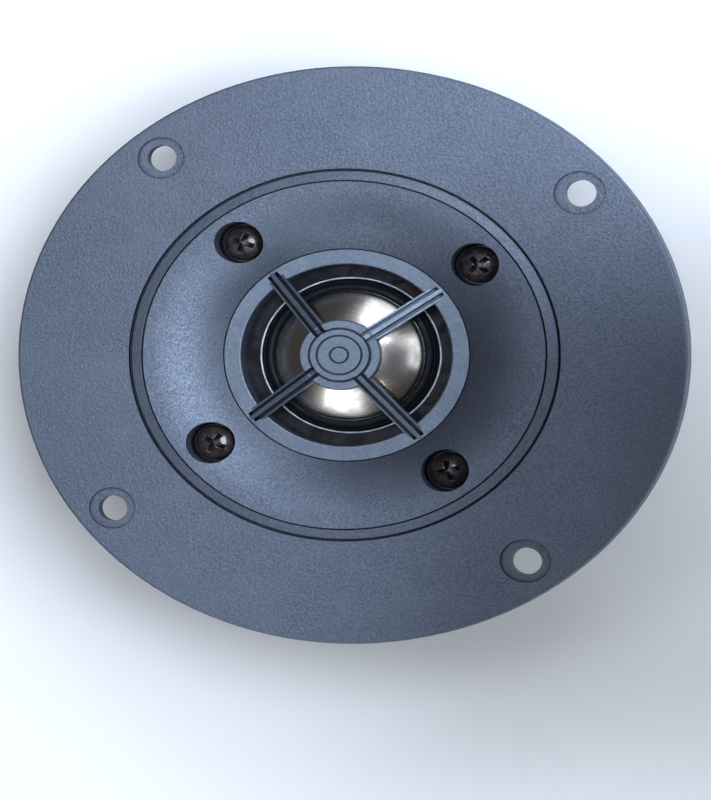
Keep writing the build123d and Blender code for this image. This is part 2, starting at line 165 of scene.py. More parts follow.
soft_light("skylight", (0.16, 0.075, 0.42), 0.25, 12.8, (0.76, 0.85, 1.0))
soft_light("window", (0.90, 0.19, 0.50), 0.6, 2.4, (0.80, 0.90, 1.0))
soft_light("far_wall", (0.13, 0.37, 0.29), 0.30, 4.0, (0.80, 0.88, 1.0))
soft_light("near_table", (-0.07, -0.41, 0.27), 0.30, 3.4, (0.84, 0.91, 1.0))
soft_light("ceiling", (-0.12, 0.05, 0.60), 0.20, 4.4, (0.80, 0.87, 1.0))
soft_light("ceiling_lamp", (0.36, -0.39, 0.59), 0.05, 30.0, (1.0, 0.97, 0.92))
print("six soft lights")

# %% [markdown]
# A photographer keeps light off one side with a flag, a dark card on a stand just outside the
# picture. Here one hangs over the right of the flange. The flange fades under it, and the
# dome finds something dark to mirror.

# %% Flag
FLAG_SIZE = 90 * MM
FLAG_PLACE = (75 * MM, -10 * MM, 75 * MM)
bpy.ops.mesh.primitive_plane_add(size=FLAG_SIZE, location=FLAG_PLACE)
flag = bpy.context.object
flag.name = "flag"
flag_card = bpy.data.materials.new("flag_card")
flag_card.use_nodes = True
flag_card.node_tree.nodes["Principled BSDF"].inputs["Base Color"].default_value = (0.14, 0.12, 0.14, 1)
flag.data.materials.append(flag_card)
flag.visible_camera = False
print("flag", round(FLAG_SIZE / MM), "mm wide")

# %% Floor
FLOOR_SIZE = 8
bpy.ops.mesh.primitive_plane_add(size=FLOOR_SIZE, location=(0, 0, FLOOR_Z))
floor = bpy.context.object
floor.name = "floor"
floor_paint = bpy.data.materials.new("floor_paint")
floor_paint.use_nodes = True
floor_paint.node_tree.nodes["Principled BSDF"].inputs["Base Color"].default_value = (0.86, 0.86, 0.86, 1)
floor_paint.node_tree.nodes["Principled BSDF"].inputs["Roughness"].default_value = 0.8
floor.data.materials.append(floor_paint)
print("floor at", round(FLOOR_Z / MM, 1), "mm")

# %% [markdown]
# ## A short way to write node trees
# A material is a small wiring diagram, and writing one out takes many lines. One helper adds
# a node with its settings and its sockets at once: a socket given as a value is set, and one
# given as another node's output is linked. Three more name the sums that come up all the time.

# %% Node helpers
def add(tree, kind, sockets=None, **settings):
    """A new node in a tree. Settings are its own, and sockets are values to set or outputs to link."""
    made = tree.nodes.new("ShaderNode" + kind)
    for name, value in settings.items():
        setattr(made, name, value)
    for key, value in (sockets or {}).items():
        if isinstance(value, bpy.types.NodeSocket):
            tree.links.new(value, made.inputs[key])
        else:
            made.inputs[key].default_value = value
    return made


def sum_of(tree, operation, first, second=0.0):
    """A Math node's result."""
    return add(tree, "Math", {0: first, 1: second}, operation=operation).outputs[0]


def ramp(tree, value, low, high, to_low=0.0, to_high=1.0):
    """A value from low to high, stretched to another range and held at its ends."""
    sockets = {"Value": value, "From Min": low, "From Max": high, "To Min": to_low, "To Max": to_high}
    return add(tree, "MapRange", sockets).outputs["Result"]


def mixed(tree, mask, plain, covered):
    """One colour where the mask is 0 and the other where it is 1."""
    return add(tree, "Mix", {0: mask, 6: plain, 7: covered}, data_type="RGBA").outputs[2]


def card(red, green, blue):
    """A colour read off a paint card, as the linear light that shaders use."""
    def linear(level):
        share = level / 255
        return share / 12.92 if share <= 0.04045 else ((share + 0.055) / 1.055) ** 2.4
    return linear(red), linear(green), linear(blue), 1.0


print("mid grey on the card is", round(card(128, 128, 128)[0], 3), "in linear light")

# %% [markdown]
# ## Effects that several finishes share
# Moulded grain, smudges, worn edges, dust, painted shade in recesses and lathe marks turn up on
# more than one part, so each is a node group with named inputs, built once. Sizes go in as
# millimetres, because that is how a maker thinks of them. A group only hands out masks,
# heights and normals, and the shader itself stays in the material.

# %% A helper that starts a node group
def new_group(name, inputs, outputs):
    """An empty node group with named number inputs, and outputs that are numbers or vectors."""
    tree = bpy.data.node_groups.new(name, "ShaderNodeTree")
    for label, value in inputs.items():
        socket = tree.interface.new_socket(label, in_out="INPUT", socket_type="NodeSocketFloat")
        socket.default_value = value
    for label, kind in outputs.items():
        tree.interface.new_socket(label, in_out="OUTPUT", socket_type="NodeSocket" + kind)
    return tree, tree.nodes.new("NodeGroupInput"), tree.nodes.new("NodeGroupOutput")


def per_metre(tree, millimetres):
    """How many times a size in millimetres goes into a metre, which is a texture's scale."""
    return sum_of(tree, "DIVIDE", 1000.0, millimetres)


def place(tree):
    """A point's own place in the model, in metres."""
    return add(tree, "TexCoord").outputs["Object"]


def bare_normal(tree):
    """The mesh's own normal, for a surface whose edges need no easing."""
    return add(tree, "NewGeometry").outputs["Normal"]


def use(tree, group, **values):
    """A group placed in a material, with its own values."""
    made = tree.nodes.new("ShaderNodeGroup")
    made.node_tree = group
    for label, value in values.items():
        made.inputs[label].default_value = value
    return made.outputs


print("groups can be built now")

# %% Moulded grain
grain, given, result = new_group("moulded_grain", {"Cell": 0.5}, {"Height": "Float", "Specks": "Float"})
scale = per_metre(grain, given.outputs["Cell"])
fine = add(grain, "TexNoise", {"Vector": place(grain), "Scale": scale, "Detail": 3.0, "Roughness": 0.6})
pits = add(grain, "TexVoronoi", {"Vector": place(grain), "Scale": sum_of(grain, "MULTIPLY", scale, 0.7)})
height = sum_of(grain, "ADD", fine.outputs["Fac"], sum_of(grain, "MULTIPLY", pits.outputs["Distance"], 0.5))
grain.links.new(height, result.inputs["Height"])
grain.links.new(ramp(grain, fine.outputs["Fac"], 0.38, 0.64), result.inputs["Specks"])
print("group", grain.name)

# %% Smudges
smudge, given, result = new_group("smudges", {"Span": 8.0}, {"Mask": "Float"})
scale = per_metre(smudge, given.outputs["Span"])
cloud = add(smudge, "TexNoise", {"Vector": place(smudge), "Scale": scale, "Detail": 4.0, "Distortion": 0.6})
smudge.links.new(ramp(smudge, cloud.outputs["Fac"], 0.35, 0.65), result.inputs["Mask"])
print("group", smudge.name)

# %% Eased and worn edges
# The Bevel node feels for a nearby edge and bends the normal as a small round would. Where its
# normal leaves the true one, there is an edge, and that is where paint and plating wear first.
edges, given, result = new_group("edges", {"Round": 0.2, "Patch": 1.5}, {"Normal": "Vector", "Wear": "Float"})
reach = sum_of(edges, "MULTIPLY", given.outputs["Round"], MM)
eased = add(edges, "Bevel", {"Radius": reach}, samples=6)
true_normal = bare_normal(edges)
turned_by = add(edges, "VectorMath", {0: eased.outputs["Normal"], 1: true_normal}, operation="DOT_PRODUCT")
at_edge = ramp(edges, turned_by.outputs["Value"], 0.97, 0.75)
patch_scale = per_metre(edges, given.outputs["Patch"])
patches = add(edges, "TexNoise", {"Vector": place(edges), "Scale": patch_scale, "Detail": 3.0})
worn = sum_of(edges, "MULTIPLY", at_edge, ramp(edges, patches.outputs["Fac"], 0.42, 0.6))
edges.links.new(eased.outputs["Normal"], result.inputs["Normal"])
edges.links.new(worn, result.inputs["Wear"])
print("group", edges.name)

# %% Settled dust
# Dust lies on faces that look up, in flecks and thin films.
dust, given, result = new_group("settled_dust", {"Fleck": 0.6, "Cover": 0.3}, {"Mask": "Float"})
upward = add(dust, "SeparateXYZ", {0: bare_normal(dust)}).outputs["Z"]
scale = per_metre(dust, given.outputs["Fleck"])
flecks = add(dust, "TexNoise", {"Vector": place(dust), "Scale": scale, "Detail": 2.0}).outputs["Fac"]
FILM_TO_FLECK = 0.06              # the film's noise is that much slower, so its patches are large
film_scale = sum_of(dust, "MULTIPLY", scale, FILM_TO_FLECK)
film = add(dust, "TexNoise", {"Vector": place(dust), "Scale": film_scale, "Detail": 2.0}).outputs["Fac"]
thick = sum_of(dust, "ADD", ramp(dust, flecks, 0.60, 0.72), ramp(dust, film, 0.45, 0.75, 0.0, 0.5))
covering = sum_of(dust, "MULTIPLY", thick, given.outputs["Cover"])
settled = sum_of(dust, "MULTIPLY", ramp(dust, upward, 0.2, 0.9), covering)
dust.links.new(settled, result.inputs["Mask"])
print("group", dust.name)

# %% Painted shade in recesses
# Painted shade: the colour of a groove or well is darkened where shade falls in it. The ambient
# occlusion node feels how much of the space within reach is blocked, and only a point that is
# walled in on both sides counts. The sheen is taken away there too, as painted shade. A shader
# that is mostly metallic with a nearly black colour reflects almost nothing, so that is how the plastics lose
# their sheen.
SHADE_DULLING = 0.8
shade_group, given, result = new_group("painted_recess_shade", {"Reach": 0.8}, {"Mask": "Float"})
shade_reach = sum_of(shade_group, "MULTIPLY", given.outputs["Reach"], MM)
openness = add(shade_group, "AmbientOcclusion", {"Distance": shade_reach}, samples=8).outputs["AO"]
shade_group.links.new(ramp(shade_group, openness, 0.74, 0.36), result.inputs["Mask"])
print("group", shade_group.name)

# %% Lathe marks
# Turned and ground faces carry fine rings about the axis, so the pattern runs along the radius.
rings, given, result = new_group("lathe_marks", {"Pitch": 0.3}, {"Height": "Float"})
flat_place = add(rings, "VectorMath", {0: place(rings), 1: (1, 1, 0)}, operation="MULTIPLY")
radius = add(rings, "VectorMath", {0: flat_place.outputs[0]}, operation="LENGTH").outputs["Value"]
along = sum_of(rings, "MULTIPLY", radius, per_metre(rings, given.outputs["Pitch"]))
lines = add(rings, "TexNoise", {"W": along, "Scale": 1.0, "Detail": 3.0}, noise_dimensions="1D")
rings.links.new(lines.outputs["Fac"], result.inputs["Height"])
print("group", rings.name)

# %% [markdown]
# ## Finishes
# Each material slot of the record gets one finish. They all start alike: a Principled shader
# with its constants set on it, a colour that the effects change a little, and a normal that
# eases the edges and carries the grain.

# %% A helper that starts a finish
finishes = {}


def new_finish(slot, **constants):
    """The material for one slot, with constants set on its shader's own sockets."""
    made = bpy.data.materials.new(slot + "_finish")
    made.use_nodes = True
    shader = made.node_tree.nodes["Principled BSDF"]
    for label, value in constants.items():
        shader.inputs[label.replace("_", " ")].default_value = value
    finishes[slot] = made
    return made.node_tree, shader


def surface(tree, shader, height, depth_mm, under, strength=1.0):
    """A bump of a real depth over another normal, wired to the shader."""
    sockets = {"Height": height, "Distance": depth_mm * MM, "Strength": strength, "Normal": under}
    bump = add(tree, "Bump", sockets)
    tree.links.new(bump.outputs["Normal"], shader.inputs["Normal"])


def wire(tree, shader, **outputs):
    """Links node outputs to the shader's sockets by name."""
    for label, output in outputs.items():
        tree.links.new(output, shader.inputs[label.replace("_", " ")])


# %% [markdown]
# ### Flange and horn
# The front plate is black plastic from a spark-eroded mould. The plastic itself is almost
# black. Its pale blue-grey look is sheen: every grain of the texture throws back a little of
# the window, so the shader gets a dark colour, a broad tinted highlight and a real grain in
# its bump, and lighter specks where the grain's tops are polished.

# %% Flange plastic
tree, shader = new_finish("flange_plastic", Specular_Tint=(0.66, 0.79, 1.0, 1), IOR=2.2)
mould = use(tree, grain, Cell=0.38)
handling = use(tree, smudge, Span=9.0)["Mask"]
rim = use(tree, edges, Round=0.06, Patch=2.0)
# Painted shade: grooves and wells go near black in colour and, through Metallic, lose their sheen.
recess_shade = use(tree, shade_group, Reach=2.2)["Mask"]
film = use(tree, dust, Fleck=0.5, Cover=0.25)["Mask"]
plastic = mixed(tree, mould["Specks"], card(14, 15, 20), card(58, 62, 74))
plastic = mixed(tree, sum_of(tree, "MULTIPLY", handling, 0.3), plastic, card(46, 48, 56))
plastic = mixed(tree, rim["Wear"], plastic, card(96, 104, 118))
plastic = mixed(tree, film, plastic, card(96, 102, 112))
# Painted shade in the recesses.
plastic = mixed(tree, recess_shade, plastic, card(10, 9, 14))
gloss = ramp(tree, mould["Specks"], 0.0, 1.0, 0.60, 0.44)
faded = sum_of(tree, "MULTIPLY", recess_shade, SHADE_DULLING)
wire(tree, shader, Base_Color=plastic, Roughness=gloss, Metallic=faded)
surface(tree, shader, mould["Height"], 0.05, rim["Normal"])
print("flange plastic, grain of 0.38 mm")

# %% Guard plastic
# The guard is a separate moulding from a smoother tool, so it is glossier and its light edges
# are crisp.
tree, shader = new_finish("guard_plastic", Specular_Tint=(0.66, 0.81, 1.0, 1), IOR=2.2)
mould = use(tree, grain, Cell=0.7)
rim = use(tree, edges, Round=0.06, Patch=1.2)
# Painted shade: grooves go near black in colour and, through Metallic, lose their sheen.
recess_shade = use(tree, shade_group, Reach=0.9)["Mask"]
film = use(tree, dust, Fleck=0.35, Cover=0.22)["Mask"]
plastic = mixed(tree, mould["Specks"], card(44, 49, 58), card(58, 64, 75))
plastic = mixed(tree, rim["Wear"], plastic, card(112, 120, 136))
plastic = mixed(tree, film, plastic, card(150, 158, 170))
# Painted shade in the recesses.
plastic = mixed(tree, recess_shade, plastic, card(9, 12, 16))
gloss = ramp(tree, mould["Specks"], 0.0, 1.0, 0.44, 0.36)
faded = sum_of(tree, "MULTIPLY", recess_shade, SHADE_DULLING)
wire(tree, shader, Base_Color=plastic, Roughness=gloss, Metallic=faded)
surface(tree, shader, mould["Height"], 0.015, rim["Normal"])
print("guard plastic, smoother")

# %% Frame plastic
tree, shader = new_finish("frame_plastic")
mould = use(tree, grain, Cell=0.9)
rim = use(tree, edges, Round=0.15, Patch=1.0)
plastic = mixed(tree, mould["Specks"], card(14, 16, 20), card(24, 27, 32))
wire(tree, shader, Base_Color=plastic, Roughness=ramp(tree, mould["Specks"], 0, 1, 0.5, 0.62))
surface(tree, shader, mould["Height"], 0.02, rim["Normal"])
print("frame plastic, nearly black")

# %% [markdown]
# ### Screws and rivets
# The screws are blackened steel, wiped with oil and marked by the driver. Oxide is a thin
# brown-black film over metal, so it is partly metallic and glossy, and it rubs through to
# steel along the rim and the cross. Painted shade darkens the cross and the foot of each head.

# %% Blackened screw steel
tree, shader = new_finish("black_screw_steel", Coat_Roughness=0.12, Coat_IOR=1.5)
oil = use(tree, smudge, Span=1.6)["Mask"]
rim = use(tree, edges, Round=0.16, Patch=0.7)
grit = use(tree, grain, Cell=0.25)
oxide = mixed(tree, oil, card(38, 33, 34), card(76, 66, 65))
oxide = mixed(tree, rim["Wear"], oxide, card(170, 168, 166))
# Painted shade: the cross and the foot of each head go near black, rougher and without coat.
recess_shade = use(tree, shade_group, Reach=1.4)["Mask"]
oxide = mixed(tree, recess_shade, oxide, card(7, 6, 7))
unshaded = sum_of(tree, "SUBTRACT", 1.0, recess_shade)
wire(tree, shader, Base_Color=oxide, Metallic=ramp(tree, rim["Wear"], 0, 1, 0.35, 1.0))
oily = ramp(tree, oil, 0, 1, 0.28, 0.42)
wire(tree, shader, Roughness=sum_of(tree, "ADD", oily, ramp(tree, recess_shade, 0, 1, 0, 0.4)))
wire(tree, shader, Coat_Weight=sum_of(tree, "MULTIPLY", unshaded, ramp(tree, oil, 0, 1, 0.9, 0.4)))
surface(tree, shader, grit["Height"], 0.01, rim["Normal"])
print("blackened steel with an oil film")

# %% Nickel rivets
tree, shader = new_finish("rivet_steel", Metallic=1.0)
rub = use(tree, smudge, Span=1.2)["Mask"]
rim = use(tree, edges, Round=0.12, Patch=0.6)
nickel = mixed(tree, rub, card(170, 168, 160), card(196, 193, 184))
wire(tree, shader, Base_Color=nickel, Roughness=ramp(tree, rub, 0, 1, 0.22, 0.38))
surface(tree, shader, rub, 0.01, rim["Normal"])
print("nickel plate")

# %% [markdown]
# ### Dome
# The dome is thin metal foil, drawn over a tool. It mirrors the whole room in one small
# button, softly, because the foil keeps the tool's faint rings and has fine marks from
# wiping. The metal is a warm silver, a little browner where fingers have touched it, and
# greener and darker in a band at the rim.

# %% Dome foil
tree, shader = new_finish("dome_titanium", Metallic=1.0)
marks = use(tree, rings, Pitch=0.55)["Height"]
wipe = use(tree, smudge, Span=3.5)["Mask"]
foil = mixed(tree, wipe, card(200, 195, 188), card(172, 163, 154))
spot = add(tree, "SeparateXYZ", {0: place(tree)})
dome_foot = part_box("dome")[0].z
# A band at the foot of the dome is greener and darker.
BAND_SOLID = dome_foot + 0.35 * MM
BAND_ENDS = dome_foot + 0.75 * MM
BAND_COVER = 0.8
rim_band = ramp(tree, spot.outputs["Z"], BAND_ENDS, BAND_SOLID)
foil = mixed(tree, sum_of(tree, "MULTIPLY", rim_band, BAND_COVER), foil, card(110, 118, 116))
wire(tree, shader, Base_Color=foil, Roughness=ramp(tree, wipe, 0, 1, 0.20, 0.30))
surface(tree, shader, marks, 0.004, bare_normal(tree))
print("warm silver foil")

# %% [markdown]
# ### Cloth, glue, film and felt
# The surround is fine silk painted with a dark, rubbery damping compound that leaves the
# threads showing. The bead that holds it is clear glue. The coil's former is amber film, and
# a disc of dark felt sits on the pole to swallow sound behind the dome.

# %% Doped silk
tree, shader = new_finish("surround_silk", Specular_IOR_Level=0.12)
spot = add(tree, "SeparateXYZ", {0: place(tree)})
THREAD_MM = 0.24
turns = 2 * math.pi * 1000 / THREAD_MM
warp = sum_of(tree, "SINE", sum_of(tree, "MULTIPLY", spot.outputs["X"], turns))
weft = sum_of(tree, "SINE", sum_of(tree, "MULTIPLY", spot.outputs["Y"], turns))
weave = sum_of(tree, "MULTIPLY", warp, weft)
dope = use(tree, smudge, Span=2.2)["Mask"]
silk = mixed(tree, ramp(tree, weave, -1, 1), card(6, 6, 12), card(20, 20, 30))
silk = mixed(tree, dope, silk, card(12, 14, 20))
wire(tree, shader, Base_Color=silk, Roughness=ramp(tree, dope, 0, 1, 0.5, 0.40))
wire(tree, shader, Coat_Weight=ramp(tree, dope, 0, 1, 0.0, 0.10))
surface(tree, shader, weave, 0.02, bare_normal(tree), 0.6)
print("silk with threads of", THREAD_MM, "mm")

# %% Clear glue
tree, shader = new_finish("clear_adhesive", IOR=1.5)
lumps = use(tree, smudge, Span=1.5)["Mask"]
glue = mixed(tree, lumps, card(170, 178, 186), card(214, 220, 226))
wire(tree, shader, Base_Color=glue, Roughness=ramp(tree, lumps, 0, 1, 0.12, 0.3))
surface(tree, shader, lumps, 0.03, bare_normal(tree))
print("clear glue")

# %% Amber film
tree, shader = new_finish("former_film", IOR=1.6)
stain = use(tree, smudge, Span=2.0)["Mask"]
amber = mixed(tree, stain, card(176, 98, 26), card(142, 72, 18))
wire(tree, shader, Base_Color=amber, Roughness=ramp(tree, stain, 0, 1, 0.16, 0.3))
surface(tree, shader, stain, 0.01, bare_normal(tree))
print("amber film")

# %% Pressed felt
tree, shader = new_finish("wool_felt", Sheen_Weight=0.5, Sheen_Roughness=0.6, Roughness=1.0)
FIBRE_SCALE = 2600.0
tangle = {"Vector": place(tree), "Scale": FIBRE_SCALE, "Detail": 5.0, "Distortion": 2.5}
fibres = add(tree, "TexNoise", tangle)
wool = mixed(tree, ramp(tree, fibres.outputs["Fac"], 0.35, 0.65), card(40, 40, 44), card(92, 92, 98))
wire(tree, shader, Base_Color=wool)
surface(tree, shader, fibres.outputs["Fac"], 0.12, bare_normal(tree))
print("grey felt")

# %% [markdown]
# ### Motor
# The steel plates are zinc plated over turned faces: bright rings, with a faint warm and cool
# drift in the plating and duller spots. The ferrite ring is ceramic, dark grey and dry, with
# pale nicks along its edges where it has chipped.

# %% Zinc-plated steel
tree, shader = new_finish("motor_steel", Metallic=1.0)
lathe = use(tree, rings, Pitch=0.35)["Height"]
drift = use(tree, smudge, Span=11.0)["Mask"]
spots = use(tree, grain, Cell=1.1)["Specks"]
rim = use(tree, edges, Round=0.35, Patch=1.4)
zinc = mixed(tree, drift, card(172, 176, 180), card(186, 180, 164))
zinc = mixed(tree, ramp(tree, lathe, 0.35, 0.65, 0.0, 0.35), zinc, card(132, 136, 142))
zinc = mixed(tree, rim["Wear"], zinc, card(214, 214, 212))
rough = sum_of(tree, "ADD", ramp(tree, spots, 0, 1, 0.30, 0.42), ramp(tree, drift, 0, 1, 0.0, 0.08))
wire(tree, shader, Base_Color=zinc, Roughness=rough)
surface(tree, shader, lathe, 0.012, rim["Normal"])
print("zinc plate over turned steel")

# %% Ferrite
tree, shader = new_finish("ferrite")
sinter = use(tree, grain, Cell=0.35)
cloudy = use(tree, smudge, Span=9.0)["Mask"]
rim = use(tree, edges, Round=0.5, Patch=1.1)
powder = use(tree, dust, Fleck=0.8, Cover=0.25)["Mask"]
ceramic = mixed(tree, sinter["Specks"], card(50, 51, 54), card(68, 69, 72))
ceramic = mixed(tree, cloudy, ceramic, card(58, 57, 58))
ceramic = mixed(tree, rim["Wear"], ceramic, card(104, 104, 106))
ceramic = mixed(tree, powder, ceramic, card(120, 116, 110))
wire(tree, shader, Base_Color=ceramic, Roughness=ramp(tree, cloudy, 0, 1, 0.62, 0.78))
surface(tree, shader, sinter["Height"], 0.04, rim["Normal"])
print("dark ferrite")

# %% [markdown]
# ### Terminals and wires
# The board is brown paper phenolic, the blades are tinned brass, and the leads are braided
# copper that has started to brown. Solder is bright but never mirror smooth. One red dot
# marks the positive blade.

# %% Phenolic board
tree, shader = new_finish("phenolic_board", IOR=1.55)
spot = add(tree, "SeparateXYZ", {0: place(tree)})
PAPER_SCALE = 2200.0
ALONG_FIBRES = 0.18               # paper fibres lie along X, so the pattern is drawn out that way
drawn_out = sum_of(tree, "MULTIPLY", spot.outputs["X"], ALONG_FIBRES)
lay = add(tree, "CombineXYZ", {"X": drawn_out, "Y": spot.outputs["Y"], "Z": spot.outputs["Z"]})
paper = add(tree, "TexNoise", {"Vector": lay.outputs[0], "Scale": PAPER_SCALE, "Detail": 4.0}).outputs["Fac"]
rim = use(tree, edges, Round=0.15, Patch=1.0)
brown = mixed(tree, ramp(tree, paper, 0.35, 0.65), card(92, 52, 30), card(126, 78, 46))
brown = mixed(tree, rim["Wear"], brown, card(164, 118, 78))
wire(tree, shader, Base_Color=brown, Roughness=ramp(tree, paper, 0.3, 0.7, 0.34, 0.52))
surface(tree, shader, paper, 0.015, rim["Normal"])
print("paper phenolic")

# %% Tinned brass and solder
for slot, dull, bright, tin_rough in (
    ("tinned_brass", card(168, 160, 138), card(196, 190, 172), (0.24, 0.42)),
    ("solder", card(150, 152, 156), card(192, 193, 196), (0.16, 0.36)),
):
    tree, shader = new_finish(slot, Metallic=1.0)
    cloudy = use(tree, smudge, Span=1.8)["Mask"]
    rim = use(tree, edges, Round=0.12, Patch=0.8)
    tin = mixed(tree, cloudy, dull, bright)
    tin = mixed(tree, rim["Wear"], tin, card(206, 178, 112) if slot == "tinned_brass" else bright)
    wire(tree, shader, Base_Color=tin, Roughness=ramp(tree, cloudy, 0, 1, *tin_rough))
    surface(tree, shader, cloudy, 0.02, rim["Normal"])
    print(slot)

# %% Copper wires
for slot, deep, light, wire_rough in (
    ("coil_copper", card(140, 66, 30), card(196, 104, 52), (0.22, 0.34)),
    ("braided_copper", card(120, 74, 44), card(190, 126, 82), (0.34, 0.5)),
):
    tree, shader = new_finish(slot, Metallic=1.0)
    tarnish = use(tree, smudge, Span=1.0)["Mask"]
    copper = mixed(tree, tarnish, deep, light)
    wire(tree, shader, Base_Color=copper, Roughness=ramp(tree, tarnish, 0, 1, *wire_rough))
    surface(tree, shader, tarnish, 0.01, bare_normal(tree))
    print(slot)

# %% Red paint
tree, shader = new_finish("red_paint", Coat_Weight=0.4, Coat_Roughness=0.15)
drop = use(tree, smudge, Span=0.9)["Mask"]
red = mixed(tree, drop, card(186, 26, 24), card(150, 16, 18))
wire(tree, shader, Base_Color=red, Roughness=ramp(tree, drop, 0, 1, 0.25, 0.4))
surface(tree, shader, drop, 0.03, bare_normal(tree))
print("red paint")

# %% [markdown]
# ## Dressing the parts
# The record says which slot each part belongs to, so the finishes can be handed out in one
# loop. The parts' own shapes stay untouched.

# %% Finishes onto the engineering parts
slot_of = {part["node"]: part["material_slot"] for part in frame["record"]["subparts"]}
for name, part in nodes.items():
    part.material_slots[0].material = finishes[slot_of[name]]
print("dressed", len(slot_of), "parts")

# %% [markdown]
# ## Finer pieces
# Six kinds of part deserve a better mesh than a machined solid gives: the foil dome, the
# cloth surround, its glue bead, the wound coil, the felt and the braided leads. Most of them
# are round, so one lathe function makes them, and a tube function draws everything that is
# wire. Both build the mesh point by point, which keeps every edge where the maker wants it.

# %% A lathe for meshes
def lathe(outline, steps, shift=None):
    """Turns a closed outline of (radius, height) points about Z. A shift, if given, moves each point."""
    mesh = bmesh.new()
    hoops = []
    for step in range(steps):
        turn = 2 * math.pi * step / steps
        spots = [Vector((r * math.cos(turn), r * math.sin(turn), z)) for r, z in outline]
        hoops.append([mesh.verts.new(shift(spot) if shift else spot) for spot in spots])
    for step in range(steps):
        here, there = hoops[step], hoops[(step + 1) % steps]
        for index in range(len(outline)):
            after = (index + 1) % len(outline)
            if outline[index][0] > 0 or outline[after][0] > 0:
                mesh.faces.new((here[index], there[index], there[after], here[after]))
    bmesh.ops.remove_doubles(mesh, verts=mesh.verts, dist=1e-8)
    return mesh


print("lathe ready")

# %% A tube for wire
def add_tube(mesh, path, radius, sides):
    """A wire along a path of points, closed at both ends, added to a mesh."""
    along = (path[1] - path[0]).normalized()
    across = along.orthogonal().normalized()
    hoops = []
    for index, spot in enumerate(path):
        ahead = path[min(index + 1, len(path) - 1)] - path[max(index - 1, 0)]
        along = ahead.normalized()
        across = (across - along * across.dot(along)).normalized()
        other = along.cross(across)
        turns = [2 * math.pi * side / sides for side in range(sides)]
        hoop = [spot + (across * math.cos(turn) + other * math.sin(turn)) * radius for turn in turns]
        hoops.append([mesh.verts.new(point) for point in hoop])
    for here, there in zip(hoops, hoops[1:]):
        for side in range(sides):
            after = (side + 1) % sides
            mesh.faces.new((here[side], there[side], there[after], here[after]))
    mesh.faces.new(hoops[0])
    mesh.faces.new(hoops[-1])


print("tube ready")

# %% From mesh to piece
SHARP = math.radians(40)


def make_piece(mesh, name, slot, *stood_for):
    """A piece with a slot's finish, put in place of parts of the engineering model, which are hidden."""
    bmesh.ops.recalc_face_normals(mesh, faces=mesh.faces)
    data = bpy.data.meshes.new(name)
    mesh.to_mesh(data)
    mesh.free()
    data.shade_smooth()
    data.set_sharp_from_angle(angle=SHARP)
    data.materials.append(finishes[slot])
    piece = bpy.data.objects.new(name, data)
    bpy.context.scene.collection.objects.link(piece)
    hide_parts(*stood_for)
    print(name, "has", len(data.polygons), "faces")
    return piece


# %% [markdown]
# ### Foil dome
# The dome is a shallow cap of foil with a tiny step where the tool gripped its rim. About a
# hundredth of a millimetre of unevenness is enough to make a mirror look like real metal.

# %% Foil dome
dome_low, dome_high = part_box("dome")
DOME_R = dome_high.x
DOME_RISE = dome_high.z - dome_low.z
FOIL_T = 0.18 * MM
FOIL_WAVE = 0.012 * MM
FOIL_WAVE_SCALE = 260
RIM_FADE = 1.0 * MM               # the rim is held by the former, so it stays true
GRIP_R = DOME_R - 0.5 * MM
GRIP_DROP = 0.05 * MM
GRIP_EASE = 0.2 * MM              # the step is drawn, not cut, so it comes on gradually
CAP_STEPS = 56
DOME_SPANS = 160
dome_bend = (DOME_R ** 2 + DOME_RISE ** 2) / (2 * DOME_RISE)


def cap_height(radius, inset):
    """Height of the foil's outer skin, or of its inner skin at an inset."""
    grip = GRIP_DROP * min(max((radius - GRIP_R) / GRIP_EASE, 0.0), 1.0)
    return dome_high.z - dome_bend + math.sqrt((dome_bend - inset) ** 2 - radius ** 2) - grip


def uneven(spot):
    """Foil is never quite true: a point sinks a little, more in some places than in others."""
    sink = (noise.noise(spot * FOIL_WAVE_SCALE) + 1) / 2 * FOIL_WAVE
    share = min(max((spot.z - dome_low.z - FOIL_T) / RIM_FADE, 0.0), 1.0)
    return spot - Vector((0, 0, sink * share))


radii = [DOME_R * math.sin(math.pi / 2 * step / CAP_STEPS) for step in range(CAP_STEPS + 1)]
outer_skin = [(radius, max(cap_height(radius, 0.0), dome_low.z)) for radius in radii]
inner_radii = [radius for radius in reversed(radii) if radius < DOME_R - FOIL_T]
inner_skin = [(radius, max(cap_height(radius, FOIL_T), dome_low.z)) for radius in inner_radii]
dome_mesh = lathe(outer_skin + inner_skin, DOME_SPANS, uneven)
dome_foil = make_piece(dome_mesh, "dome_foil", "dome_titanium", "dome")
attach(dome_foil, "diaphragm")

# %% [markdown]
# ### Silk surround
# The surround lets the dome move. It is one ring of doped cloth: glued to the dome's rim,
# arched in a small roll, pressed with a fine crease where the tool closed, and laid flat on
# the frame. Its outer part stays still and its inner edge travels with the dome.

# %% Silk surround
silk_low, silk_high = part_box("surround")
SILK_T = 0.22 * MM
SILK_CLEARANCE = 0.02 * MM
CREASE_RISE = 0.07 * MM
SPAN_STEPS = 5
SILK_SPANS = 180
flat_z = silk_low.z + SILK_T / 2
crest_z = silk_high.z - SILK_T / 2 - SILK_CLEARANCE
inner_r = DOME_R + SILK_CLEARANCE + SILK_T / 2
silk_line = [
    (inner_r, crest_z - 0.34 * MM),
    (inner_r, crest_z - 0.12 * MM),
    (inner_r + 0.18 * MM, crest_z),
    (inner_r + 0.60 * MM, crest_z),
    (inner_r + 0.95 * MM, crest_z - 0.16 * MM),
    (inner_r + 1.22 * MM, crest_z - 0.50 * MM),
    (inner_r + 1.34 * MM, crest_z - 0.62 * MM + CREASE_RISE),
    (inner_r + 1.46 * MM, crest_z - 0.82 * MM + CREASE_RISE),
    (inner_r + 1.66 * MM, flat_z + 0.22 * MM),
    (inner_r + 1.95 * MM, flat_z + 0.04 * MM),
    (inner_r + 2.30 * MM, flat_z),
    (silk_high.x - 1.5 * MM, flat_z),
    (silk_high.x - SILK_T / 2, flat_z),
]


